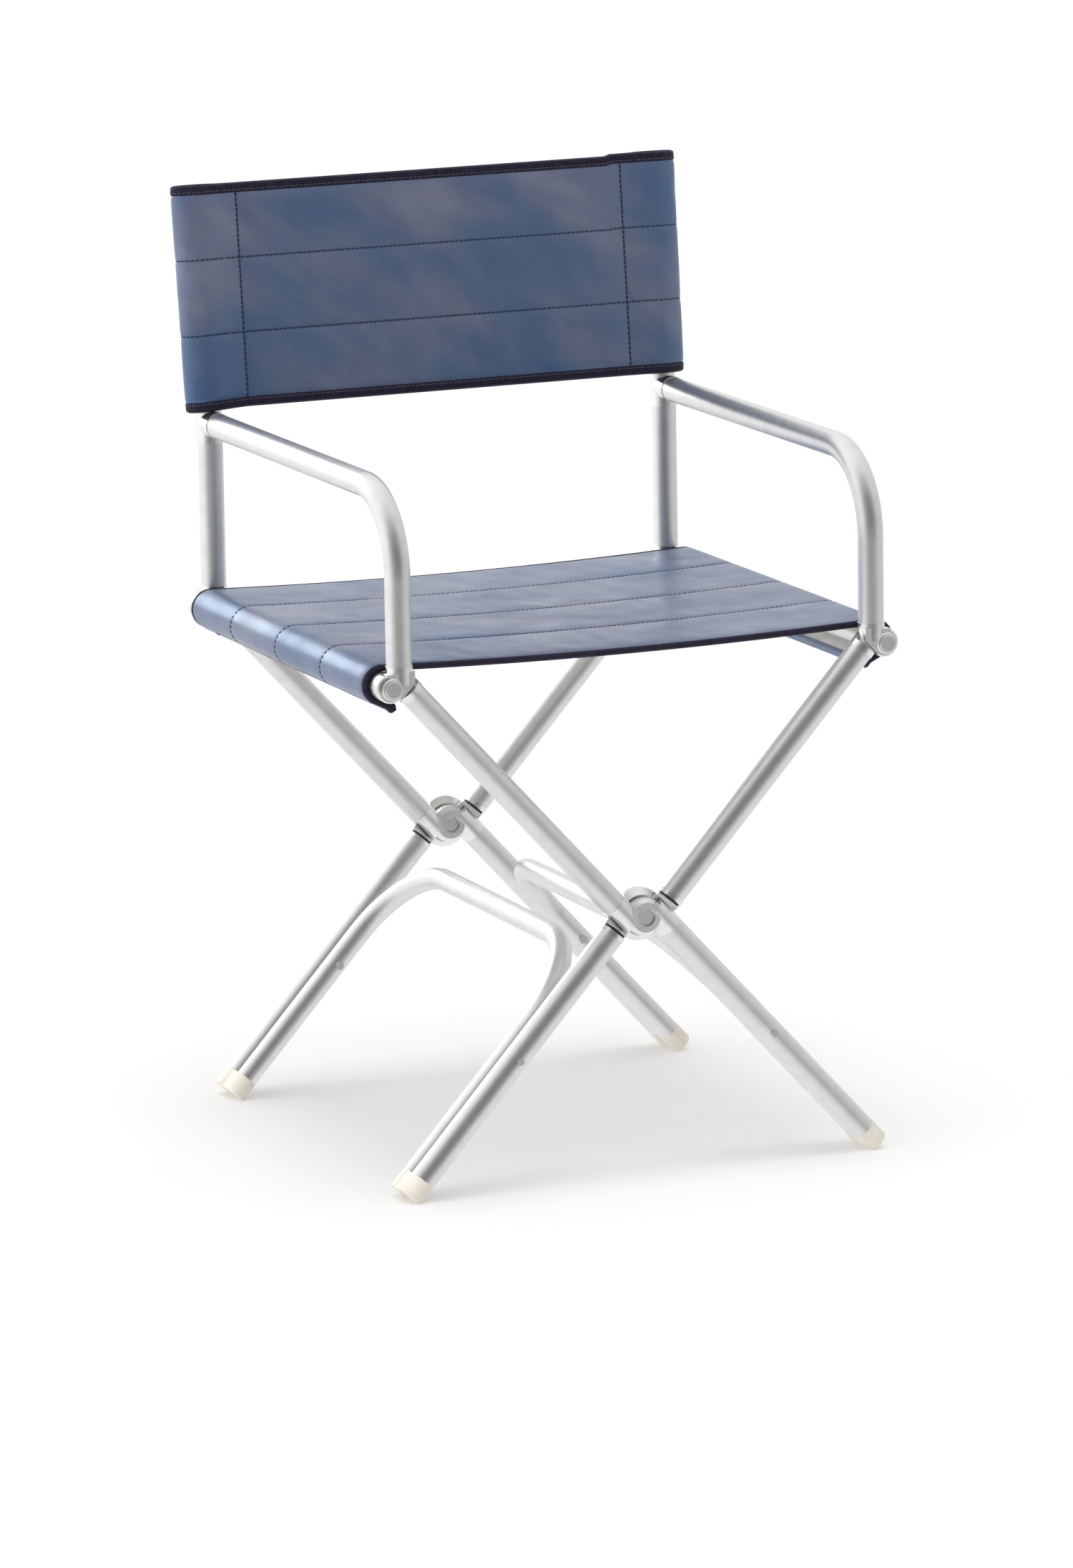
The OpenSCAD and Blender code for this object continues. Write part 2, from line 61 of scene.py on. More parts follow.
# ---- camera, in the photograph's place ----
CAMERA_AZIMUTH = -22.7 * DEG
CAMERA_ELEVATION = 11.48 * DEG
CAMERA_ROLL = -0.94 * DEG
CAMERA_DISTANCE = 7.80018
CAMERA_TARGET = Vector((-0.00392, -0.01686, 0.31443))
CAMERA_LENS = 197.36
CAMERA_SENSOR = 36.0

# ---- the seat sling, where the CAD model holds it ----
JOINTS = {joint["name"]: joint for joint in frame["joints"]}
PIN_X = -JOINTS["left_knuckle"]["pos_m"][0]
PIN_Z = JOINTS["left_knuckle"]["pos_m"][2]
SEAT_LOW, SEAT_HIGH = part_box("seat_bindings")
SEAT_MIDDLE_Y = (SEAT_LOW.y + SEAT_HIGH.y) / 2
SEAT_HALF_Y = (SEAT_HIGH.y - SEAT_LOW.y) / 2
# The slings are cut into a middle panel and the ends that ride on the sides, as the CAD nodes are.
SEAT_CUT_X = SEAT_HIGH.x + 0.1 * MM
SEAT_THICK = 6.6 * MM
SEAT_SAG = 5.0 * MM
WRAP_RADIUS = 15.1 * MM
WRAP_TURN = 153.6 * DEG
HEM_DROP = 15.8 * MM
HEM_RADIUS = 3.9 * MM
HEM_OVERLAP = 1.5 * MM
HEM_TURN = 7.0 * MM
HEM_SEAM_IN = 1 * MM
SEAT_BINDING = 5.0 * MM
# Half the sling's thickness at its bound edges.
SEAT_EDGE = 2.2 * MM
SEAT_ROUNDING = 4 * MM
SEAT_SEAMS = [-110 * MM, 0.0, 110 * MM]
SEAT_ROW_STEP = 4 * MM
# How far a skin reaches in under its binding.
TUCK = 0.8 * MM

# ---- the back sling ----
POST_LOW, POST_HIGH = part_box("rear_post_right")
POST_X = (POST_LOW.x + POST_HIGH.x) / 2
POST_Y = (POST_LOW.y + POST_HIGH.y) / 2
# Where the back posts start to lean, and by how much.
LEAN_Z = 615 * MM
RECLINE = 6.2 * DEG
BACK_START = 28.67 * MM
BACK_LENGTH = 205 * MM
BACK_BINDING = 9.0 * MM
BACK_FRONT = -10.5 * MM
BACK_REAR = -1.5 * MM
BACK_CUT_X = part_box("back_panel")[1].x + 0.1 * MM
BACK_SEAM_X = 191 * MM
SLEEVE_WIDE = 21.3 * MM
SLEEVE_FLARE = 2.2 * MM
SLEEVE_DEEP = 15.8 * MM
SLEEVE_WALL = 3.6 * MM
BACK_SEAMS = [BACK_LENGTH / 3, 2 * BACK_LENGTH / 3]
BACK_ROW_STEP = 3.5 * MM
BACK_EDGE_DIP = 1.2 * MM
BACK_TAPE_HALF = 3.0 * MM
BACK_TAPE_SINK = 0.8 * MM
TUNNEL_INNER = 17.5 * MM
# The sling isn't quite square: its left end hangs lower, and the right sleeve stands a little higher.
LEFT_DROOP = 2.6 * MM
LEFT_DROOP_WIDTH = 50 * MM
RIGHT_RISE = 1.7 * MM
RIGHT_RISE_START = 178 * MM
RIGHT_RISE_WIDTH = 5 * MM
# Points along the flat part and the rise of the back's outline, and along its turn round the post.
FLAT_POINTS = 60
RISE_POINTS = 40

# ---- sewing ----
STITCH_PITCH = 4.7 * MM
STITCH_LENGTH = 3.3 * MM
THREAD_RADIUS = 0.5 * MM
BOLD_THREAD_RADIUS = 0.75 * MM
TAPE_THREAD_RADIUS = 0.42 * MM
# The row of stitches along the back's binding, from the sling's edge.
TAPE_SEAM = BACK_BINDING - 2.2 * MM
# A stitch rises from a little below the skin. Its rings are (share of its length, share of its radius).
STITCH_ARCH = 0.55 * MM
STITCH_SUNK = 0.25 * MM
STITCH_SIDES = 6
STITCH_RINGS = [(-0.02, 0.35), (0.08, 0.9), (0.35, 1.0), (0.65, 1.0), (0.92, 0.9), (1.02, 0.35)]
# How deep a seam draws the skin in, how wide that valley is, and how deep each stitch puckers it.
SEAT_DIP = 0.45 * MM
BACK_DIP = 0.8 * MM
SEAM_WIDTH = 1.8 * MM
PUCKER = 0.16 * MM
GRID_STEP = STITCH_PITCH / 2
STITCH_RIPPLE = 4 * MM
# Painted shade in the seams' grooves, and on the seat along its bound edges: its strength and how wide it reaches.
SEAM_SHADE = 0.7
SEAM_SHADE_WIDTH = 1.0 * MM
ON_SEAM = 0.4 * MM
BESIDE_SEAM = [0.8 * MM, 1.8 * MM, 3.2 * MM, 5.2 * MM, 8.0 * MM]

# ---- the slings' cloth simulation ----
CLOTH_FRAMES = 16
SEAT_CLOTH = {"growth": 0.002, "pressure": 0.35, "most": 1.0 * MM}
BACK_CLOTH = {"growth": 0.003, "pressure": 0.5, "most": 1.4 * MM}
CLOTH_STIFFNESS = {"tension": 60, "compression": 60, "shear": 30, "bending": 12}
CLOTH_DAMPING = 20
CALM_PASSES = 8


# ==== sling geometry ====

def lay_out(marks, seams, step):
    """Positions from the first mark to the last, with all marks, about a step apart and closer by seams."""
    places = []
    for low, high in zip(marks[:-1], marks[1:]):
        inner_low = [low + d for d in BESIDE_SEAM] if low in seams else [low]
        inner_high = [high - d for d in reversed(BESIDE_SEAM)] if high in seams else [high]
        count = max(1, round((inner_high[0] - inner_low[-1]) / step))
        fill = list(np.linspace(inner_low[-1], inner_high[0], count + 1))
        places += ([low] if low in seams else []) + inner_low[:-1] + fill + inner_high[1:]
        if high in seams:
            places.append(high)
    return np.array(sorted(set(round(place, 8) for place in places)))


def along(points, places):
    """Points and left-hand normals of a polyline at the given arc lengths."""
    points = np.array(points)
    steps = np.linalg.norm(np.diff(points, axis=0), axis=1)
    lengths = np.concatenate([[0], np.cumsum(steps)])
    line = np.stack([np.interp(places, lengths, points[:, k]) for k in (0, 1)], axis=1)
    tangent = np.gradient(line, axis=0)
    tangent /= np.linalg.norm(tangent, axis=1)[:, None]
    return line, np.stack([-tangent[:, 1], tangent[:, 0]], axis=1)


def length_of(points):
    return float(np.linalg.norm(np.diff(np.array(points), axis=0), axis=1).sum())


def seat_height(x):
    return PIN_Z + WRAP_RADIUS - SEAT_SAG * (1 - (x / PIN_X) ** 2)


def seat_side(start_x):
    """The seat's middle surface in the XZ plane, from start_x out round the right rail to the hem's end."""
    flat = [(x, seat_height(x)) for x in np.linspace(start_x, PIN_X, 60)]
    angles = np.linspace(math.pi / 2, math.pi / 2 - WRAP_TURN, 90)[1:]
    turn = [(PIN_X + WRAP_RADIUS * math.cos(a), PIN_Z + WRAP_RADIUS * math.sin(a)) for a in angles]
    end, last = np.array(turn[-1]), angles[-1]
    way = np.array([math.sin(last), -math.cos(last)])
    hem = [tuple(end + way * d) for d in np.linspace(0, HEM_DROP + 2 * HEM_RADIUS - HEM_OVERLAP, 20)[1:]]
    return flat + turn + hem


def seam_profile(distance, dip):
    """How far a seam pulls the skin in, at a distance from it."""
    return dip * np.exp(-distance / SEAM_WIDTH)


def nearest(places, seams):
    """Distance of each place to the nearest seam."""
    return np.min(np.abs(places[:, None] - np.array(seams)[None, :]), axis=1)


# ==== mesh helpers ====

def new_object(name, vertices, faces, smooth_angle=40 * DEG):
    mesh = bpy.data.meshes.new(name)
    mesh.from_pydata([tuple(v) for v in vertices], [], [tuple(f) for f in faces])
    mesh.validate()
    mesh.shade_smooth()
    mesh.set_sharp_from_angle(angle=smooth_angle)
    piece = bpy.data.objects.new(name, mesh)
    bpy.context.scene.collection.objects.link(piece)
    return piece


def grid_faces(first, rows, columns, closed=False, flip=False):
    """Quads of a grid of vertices that starts at index first; closed joins the last column to the first."""
    faces = []
    for row in range(rows - 1):
        for column in range(columns if closed else columns - 1):
            beside = (column + 1) % columns
            a, b = first + row * columns + column, first + row * columns + beside
            c, d = first + (row + 1) * columns + beside, first + (row + 1) * columns + column
            faces.append((a, d, c, b) if flip else (a, b, c, d))
    return faces


def face_out(piece):
    """Turns all the faces of a closed piece outwards."""
    work = bmesh.new()
    work.from_mesh(piece.data)
    bmesh.ops.recalc_face_normals(work, faces=work.faces)
    work.to_mesh(piece.data)
    work.free()


def thick_patch(name, top, bottom):
    """A closed piece between two grids of points of the same shape, rows x columns x 3."""
    rows, columns = top.shape[:2]
    count = rows * columns
    faces = grid_faces(0, rows, columns) + grid_faces(count, rows, columns, flip=True)
    rim = [(0, c) for c in range(columns)]
    rim += [(r, columns - 1) for r in range(1, rows)]
    rim += [(rows - 1, c) for c in range(columns - 2, -1, -1)]
    rim += [(r, 0) for r in range(rows - 2, 0, -1)]
    index = [r * columns + c for r, c in rim]
    for a, b in zip(index, index[1:] + index[:1]):
        faces.append((b, a, a + count, b + count))
    piece = new_object(name, np.concatenate([top.reshape(-1, 3), bottom.reshape(-1, 3)]), faces)
    face_out(piece)
    return piece


def ring_solid(name, outer, inner):
    """A closed ring between an outer and an inner grid of points, whose columns close on themselves."""
    rows, columns = outer.shape[:2]
    count = rows * columns
    faces = grid_faces(0, rows, columns, closed=True)
    faces += grid_faces(count, rows, columns, closed=True, flip=True)
    for row in (0, rows - 1):
        for column in range(columns):
            a, b = row * columns + column, row * columns + (column + 1) % columns
            faces.append((a, b, b + count, a + count))
    piece = new_object(name, np.concatenate([outer.reshape(-1, 3), inner.reshape(-1, 3)]), faces)
    face_out(piece)
    return piece


def grid_normals(points):
    """Unit normals of a grid of points."""
    across = np.cross(np.gradient(points, axis=1), np.gradient(points, axis=0))
    return across / np.maximum(np.linalg.norm(across, axis=2), 1e-12)[:, :, None]


def settle(points, pinned, growth, pressure, most):
    """Settled points of a skin with a little more cloth than room, so that it wrinkles between pinned seams.
    No point moves by more than `most`."""
    rows, columns = points.shape[:2]
    skin = new_object("skin", points.reshape(-1, 3), grid_faces(0, rows, columns))
    group = skin.vertex_groups.new(name="pinned")
    group.add([int(i) for i in np.flatnonzero(pinned.ravel())], 1.0, "REPLACE")
    cloth = skin.modifiers.new("cloth", "CLOTH")
    cloth.settings.quality = 8
    cloth.settings.mass = 0.15
    for kind, stiffness in CLOTH_STIFFNESS.items():
        setattr(cloth.settings, kind + "_stiffness", stiffness)
    for kind in ("tension", "compression", "shear"):
        setattr(cloth.settings, kind + "_damping", CLOTH_DAMPING)
    cloth.settings.vertex_group_mass = "pinned"
    cloth.settings.shrink_min = -growth
    cloth.settings.effector_weights.gravity = 0
    cloth.settings.use_pressure = True
    cloth.settings.uniform_pressure_force = pressure
    cloth.point_cache.frame_start = 1
    cloth.point_cache.frame_end = CLOTH_FRAMES
    scene = bpy.context.scene
    for step in range(1, CLOTH_FRAMES + 1):
        scene.frame_set(step)
    result = skin.evaluated_get(bpy.context.evaluated_depsgraph_get())
    settled = np.zeros(rows * columns * 3)
    result.data.vertices.foreach_get("co", settled)
    settled = settled.reshape(rows, columns, 3)
    scene.frame_set(1)
    mesh = skin.data
    bpy.data.objects.remove(skin)
    bpy.data.meshes.remove(mesh)
    moved = settled - points
    for _ in range(CALM_PASSES):
        inside = moved[1:-1, 1:-1]
        around = (moved[:-2, 1:-1] + moved[2:, 1:-1] + moved[1:-1, :-2] + moved[1:-1, 2:]) / 4
        moved[1:-1, 1:-1] = np.where(pinned[1:-1, 1:-1, None], inside, (inside + around) / 2)
    size = np.linalg.norm(moved, axis=2)
    print("cloth moved by mm:", round(float(size.mean()) * 1000, 2), round(float(size.max()) * 1000, 2))
    return points + moved * (most * np.tanh(size / most) / np.maximum(size, 1e-9))[:, :, None]


# ==== stitches ====

def sew(name, seams):
    """One piece of thread stitches along seams; each seam is (points, normals, thread radius)."""
    vertices, faces = [], []
    for points, normals, radius in seams:
        steps = np.linalg.norm(np.diff(points, axis=0), axis=1)
        lengths = np.concatenate([[0], np.cumsum(steps)])
        count = int(lengths[-1] / STITCH_PITCH)
        margin = (lengths[-1] - count * STITCH_PITCH) / 2
        for k in range(count):
            start = margin + k * STITCH_PITCH + (STITCH_PITCH - STITCH_LENGTH) / 2
            first = len(vertices)
            for share, size in STITCH_RINGS:
                place = start + share * STITCH_LENGTH
                at = np.array([np.interp(place, lengths, points[:, j]) for j in range(3)])
                up = np.array([np.interp(place, lengths, normals[:, j]) for j in range(3)])
                up /= np.linalg.norm(up)
                ahead = np.array([np.interp(place + 0.5 * MM, lengths, points[:, j]) for j in range(3)])
                back = np.array([np.interp(place - 0.5 * MM, lengths, points[:, j]) for j in range(3)])
                way = (ahead - back) / max(np.linalg.norm(ahead - back), 1e-9)
                beside = np.cross(way, up)
                lift = math.sin(math.pi * min(max(share, 0), 1)) * STITCH_ARCH - STITCH_SUNK
                for side in range(STITCH_SIDES):
                    angle = 2 * math.pi * side / STITCH_SIDES
                    spread = beside * math.cos(angle) + up * math.sin(angle)
                    vertices.append(at + up * lift + spread * radius * size)
            faces += grid_faces(first, len(STITCH_RINGS), STITCH_SIDES, closed=True)
            faces.append(tuple(first + side for side in range(STITCH_SIDES)))
            last = first + (len(STITCH_RINGS) - 1) * STITCH_SIDES
            faces.append(tuple(last + side for side in reversed(range(STITCH_SIDES))))
    piece = new_object(name, vertices, faces, smooth_angle=60 * DEG)
    face_out(piece)
    return piece


# ==== materials ====

# How far the vinyl's painted highlights lean, down towards the right: the paler mauve patches of its colour.
PAINTED_SHEEN_TILT = 35 * DEG


class Finish:
    """A node material with a Principled shader and short ways to add texture to it."""

    def __init__(self, name, **sockets):
        self.material = bpy.data.materials.new(name)
        self.material.use_nodes = True
        self.nodes = self.material.node_tree.nodes
        self.links = self.material.node_tree.links
        self.shader = self.nodes["Principled BSDF"]
        for socket, value in sockets.items():
            self.shader.inputs[socket.replace("_", " ")].default_value = value
        self.coordinates = self.nodes.new("ShaderNodeTexCoord")
        self.bump_end = None

    def place(self, stretch=(1, 1, 1), tilt=0.0):
        """Object coordinates, turned back by the tilt about Y and then stretched."""
        mapping = self.nodes.new("ShaderNodeMapping")
        mapping.vector_type = "TEXTURE"
        mapping.inputs["Rotation"].default_value = (0, tilt, 0)
        mapping.inputs["Scale"].default_value = [1 / scale for scale in stretch]
        self.links.new(self.coordinates.outputs["Object"], mapping.inputs["Vector"])
        return mapping.outputs["Vector"]

    def noise(self, size, detail=2.0, roughness=0.5, stretch=(1, 1, 1), distortion=0.0, tilt=0.0):
        """Noise whose features are about `size` metres."""
        node = self.nodes.new("ShaderNodeTexNoise")
        node.inputs["Scale"].default_value = 1 / size
        node.inputs["Detail"].default_value = detail
        node.inputs["Roughness"].default_value = roughness
        node.inputs["Distortion"].default_value = distortion
        self.links.new(self.place(stretch, tilt), node.inputs["Vector"])
        return node.outputs["Fac"]

    def cells(self, size, feature="F1", stretch=(1, 1, 1)):
        node = self.nodes.new("ShaderNodeTexVoronoi")
        node.feature = feature
        node.inputs["Scale"].default_value = 1 / size
        self.links.new(self.place(stretch), node.inputs["Vector"])
        return node.outputs["Distance"]

    def ramp(self, value, stops):
        """A value or colour from a factor; stops are (place, value or colour)."""
        node = self.nodes.new("ShaderNodeValToRGB")
        while len(node.color_ramp.elements) < len(stops):
            node.color_ramp.elements.new(0.5)
        for element, (place, colour) in zip(node.color_ramp.elements, stops):
            element.position = place
            shade = colour if isinstance(colour, tuple) else (colour, colour, colour)
            element.color = (*shade, 1.0)
        self.links.new(value, node.inputs["Fac"])
        return node.outputs["Color"]

    def between(self, low, high, size, detail=2.0):
        """Values or colours from low to high in patches of about `size` metres."""
        return self.ramp(self.noise(size, detail), [(0.3, low), (0.7, high)])

    def attribute(self, name):
        node = self.nodes.new("ShaderNodeAttribute")
        node.attribute_name = name
        return node.outputs["Fac"]

    def mix(self, factor, first, second):
        """Mixes two colours, each a socket or a colour, by a factor socket."""
        node = self.nodes.new("ShaderNodeMix")
        node.data_type = "RGBA"
        self.links.new(factor, node.inputs[0])
        for socket, colour in ((node.inputs[6], first), (node.inputs[7], second)):
            if isinstance(colour, tuple):
                socket.default_value = (*colour, 1.0)
            else:
                self.links.new(colour, socket)
        return node.outputs[2]

    def colour(self, socket):
        self.links.new(socket, self.shader.inputs["Base Color"])

    def roughness(self, socket):
        self.links.new(socket, self.shader.inputs["Roughness"])

    def bump(self, height, depth, strength=1.0):
        """Adds a bump of that depth in metres on top of the ones before it."""
        node = self.nodes.new("ShaderNodeBump")
        node.inputs["Strength"].default_value = strength
        node.inputs["Distance"].default_value = depth
        self.links.new(height, node.inputs["Height"])
        if self.bump_end is not None:
            self.links.new(self.bump_end, node.inputs["Normal"])
        self.bump_end = node.outputs["Normal"]
        self.links.new(self.bump_end, self.shader.inputs["Normal"])


def satin_tube():
    """Satin anodised tube: fine blasted grain, a little uneven sheen."""
    finish = Finish("satin_tube", Metallic=1.0, Specular_IOR_Level=0.5)
    finish.colour(finish.between((0.79, 0.79, 0.79), (0.85, 0.85, 0.848), 14 * MM, detail=3))
    finish.roughness(finish.between(0.37, 0.43, 5 * MM, detail=4))
    finish.bump(finish.noise(0.45 * MM, detail=2, roughness=0.7), 0.012 * MM, 0.5)
    return finish.material


def polished_casting():
    """Polished cast aluminium: brighter than the tubes, faintly uneven, with fine rub marks."""
    finish = Finish("polished_casting", Metallic=1.0)
    finish.colour(finish.between((0.85, 0.85, 0.85), (0.92, 0.92, 0.918), 9 * MM, detail=3))
    finish.roughness(finish.ramp(finish.noise(3 * MM, detail=5), [(0.3, 0.20), (0.75, 0.28)]))
    finish.bump(finish.noise(6 * MM, detail=2), 0.05 * MM, 0.4)
    finish.bump(finish.noise(1.5 * MM, detail=2, stretch=(1, 1, 3)), 0.006 * MM, 0.4)
    return finish.material


def turned_pin():
    """Machined pin head, slightly darker than the castings, with a fine grain."""
    finish = Finish("turned_pin", Metallic=1.0, Base_Color=(0.74, 0.74, 0.74, 1))
    finish.roughness(finish.between(0.26, 0.36, 2 * MM, detail=4))
    finish.bump(finish.noise(0.6 * MM, detail=3), 0.02 * MM, 0.7)
    return finish.material


def white_nylon():
    """Moulded off-white nylon, slightly translucent and matt."""
    finish = Finish("white_nylon", Subsurface_Weight=0.12, Subsurface_Scale=2 * MM, Specular_IOR_Level=0.45)
    finish.shader.inputs["Subsurface Radius"].default_value = (1.0, 0.8, 0.55)
    finish.colour(finish.between((0.70, 0.645, 0.545), (0.77, 0.73, 0.65), 12 * MM, detail=3))
    finish.roughness(finish.between(0.38, 0.5, 2.5 * MM, detail=4))
    finish.bump(finish.noise(0.8 * MM, detail=3), 0.03 * MM, 0.6)
    return finish.material


def black_rubber():
    """Black rubber and dark plastic, matt with a fine grain."""
    finish = Finish("black_rubber", Specular_IOR_Level=0.4)
    finish.colour(finish.between((0.012, 0.012, 0.014), (0.03, 0.03, 0.033), 4 * MM))
    finish.roughness(finish.between(0.45, 0.65, 1.5 * MM, detail=4))
    finish.bump(finish.noise(0.6 * MM, detail=3), 0.03 * MM, 0.6)
    return finish.material


def sling_vinyl():
    """Blue leatherette: pebbled grain, shallow creases, a soft sheen, and patchy colour whose paler mauve patches
    are painted highlights.
    """
    finish = Finish("sling_vinyl", IOR=1.95, Sheen_Weight=0.15, Sheen_Roughness=0.4)
    finish.shader.inputs["Specular Tint"].default_value = (0.40, 0.71, 1.0, 1)
    finish.shader.inputs["Sheen Tint"].default_value = (0.75, 0.82, 0.95, 1)
    # Painted highlights: the colour noise runs from uneven dark blue up to paler mauve patches that stand in for
    # the padding's soft sheen.
    painted_sheen_clouds = finish.noise(80 * MM, detail=3, distortion=0.3, stretch=(0.55, 1.0, 1.2), tilt=PAINTED_SHEEN_TILT)
    body = finish.ramp(painted_sheen_clouds, [(0.26, (0.032, 0.066, 0.156)), (0.42, (0.064, 0.086, 0.162)),
                                (0.56, (0.116, 0.116, 0.174)), (0.74, (0.190, 0.170, 0.222))])
    fleck = finish.ramp(finish.noise(0.7 * MM, detail=2, roughness=0.7), [(0.35, 0.0), (0.8, 0.6)])
    # The specks are the grain's own colour, mixed over the painted highlights.
    speckled = finish.mix(fleck, body, (0.085, 0.105, 0.190))
    # Painted shade: the vinyl darkens towards navy in the seams' grooves, by the shade stored on the mesh as
    # "seam".
    painted_seam_shade = finish.mix(finish.attribute("seam"), speckled, (0.010, 0.014, 0.036))
    finish.colour(painted_seam_shade)
    finish.roughness(finish.between(0.26, 0.42, 60 * MM, detail=4))
    finish.bump(finish.noise(55 * MM, detail=3, roughness=0.5, distortion=0.8), 1.6 * MM, 0.5)
    finish.bump(finish.cells(1.1 * MM), 0.07 * MM, 0.5)
    finish.bump(finish.noise(0.5 * MM, detail=2), 0.04 * MM, 0.5)
    return finish.material


def lining():
    """Pale woven backing on the inner side of the seat sling."""
    finish = Finish("lining", Specular_IOR_Level=0.3, Sheen_Weight=0.2)
    finish.colour(finish.between((0.52, 0.51, 0.48), (0.64, 0.63, 0.60), 20 * MM, detail=4))
    finish.roughness(finish.between(0.7, 0.85, 4 * MM))
    finish.bump(finish.noise(0.7 * MM, detail=2, stretch=(1, 2.5, 1)), 0.08 * MM, 0.6)
    return finish.material


def binding_tape():
    """Dark navy folded tape with a fine twill."""
    finish = Finish("binding", Specular_IOR_Level=0.25, Sheen_Weight=0.12, Sheen_Roughness=0.4)
    finish.shader.inputs["Sheen Tint"].default_value = (0.45, 0.42, 0.75, 1)
    finish.colour(finish.between((0.008, 0.006, 0.018), (0.017, 0.013, 0.034), 6 * MM, detail=4))
    finish.roughness(finish.between(0.5, 0.7, 1.5 * MM, detail=3))
    finish.bump(finish.noise(0.45 * MM, detail=2, stretch=(1, 3, 1)), 0.06 * MM, 0.7)
    return finish.material


def thread():
    """Dark navy sewing thread with a twisted ply."""
    finish = Finish("thread", Specular_IOR_Level=0.25, Sheen_Weight=0.1)
    finish.colour(finish.between((0.006, 0.007, 0.022), (0.014, 0.015, 0.042), 1.2 * MM))
    finish.roughness(finish.between(0.5, 0.7, 0.8 * MM))
    finish.bump(finish.noise(0.25 * MM, detail=2), 0.05 * MM, 0.7)
    return finish.material


def tape_thread():
    """Thread on the binding, a little paler than the tape."""
    finish = Finish("tape_thread", Specular_IOR_Level=0.3, Sheen_Weight=0.2)
    finish.colour(finish.between((0.035, 0.034, 0.062), (0.070, 0.068, 0.110), 1.2 * MM))
    finish.roughness(finish.between(0.5, 0.7, 0.8 * MM))
    finish.bump(finish.noise(0.25 * MM, detail=2), 0.05 * MM, 0.7)
    return finish.material


def floor_paint():
    """Plain pale floor."""
    finish = Finish("pale_floor", Roughness=0.9, Specular_IOR_Level=0.1)
    finish.colour(finish.between((0.890, 0.886, 0.880), (0.900, 0.896, 0.890), 0.8, detail=2))
    return finish.material


MATERIALS = {
    "satin_tube": satin_tube(),
    "polished_casting": polished_casting(),
    "turned_pin": turned_pin(),
    "white_nylon": white_nylon(),
    "black_rubber": black_rubber(),
    "sling_vinyl": sling_vinyl(),
    "lining": lining(),
    "binding": binding_tape(),
    "thread": thread(),
    "tape_thread": tape_thread(),
}


def dress(piece, material):
    piece.data.materials.clear()
    piece.data.materials.append(MATERIALS[material])
    return piece


def dress_cad_nodes():
    """Gives every CAD node the finish of its record slot, and the pins their own."""
    slots = {part["node"]: part["material_slot"] for part in frame["record"]["subparts"]}
    for name, piece in frame["nodes"].items():
        turned = name.startswith(("pivot_pins", "hub_pins", "rivets"))
        chosen = MATERIALS["turned_pin" if turned else slots[name]]
        for index in range(len(piece.data.materials)):
            piece.data.materials[index] = chosen


# ==== the seat sling ====

def paint_seam_shade(piece, distances):
    """Stores painted shade for the material, from how near each vertex is to a seam: 0 far from it, up to
    SEAM_SHADE on it.
    """
    near = piece.data.attributes.new("seam", "FLOAT", "POINT")
    shade = np.exp(-(distances / SEAM_SHADE_WIDTH) ** 2) * SEAM_SHADE
    near.data.foreach_set("value", shade.astype(np.float32))


def seat_columns():
    """The seat's right half line, and the arc lengths of its cut, its hem seam and its end."""
    line = seat_side(0.0)
    total = length_of(line)
    cut = length_of([(x, seat_height(x)) for x in np.linspace(0, SEAT_CUT_X, 60)])
    seam = total - (HEM_DROP + 2 * HEM_RADIUS - HEM_OVERLAP) + HEM_SEAM_IN
    return line, cut, seam, total


def hem_half(places, total, half):
    """Half thickness of the sling along its path: it swells round the hem's rod and closes at its end."""
    centre = total - HEM_RADIUS
    reach = np.clip(HEM_RADIUS ** 2 - (places - centre) ** 2, 0, None)
    bulb = np.sqrt(reach)
    past = places > centre
    return np.where(past, bulb, np.maximum(bulb, half))


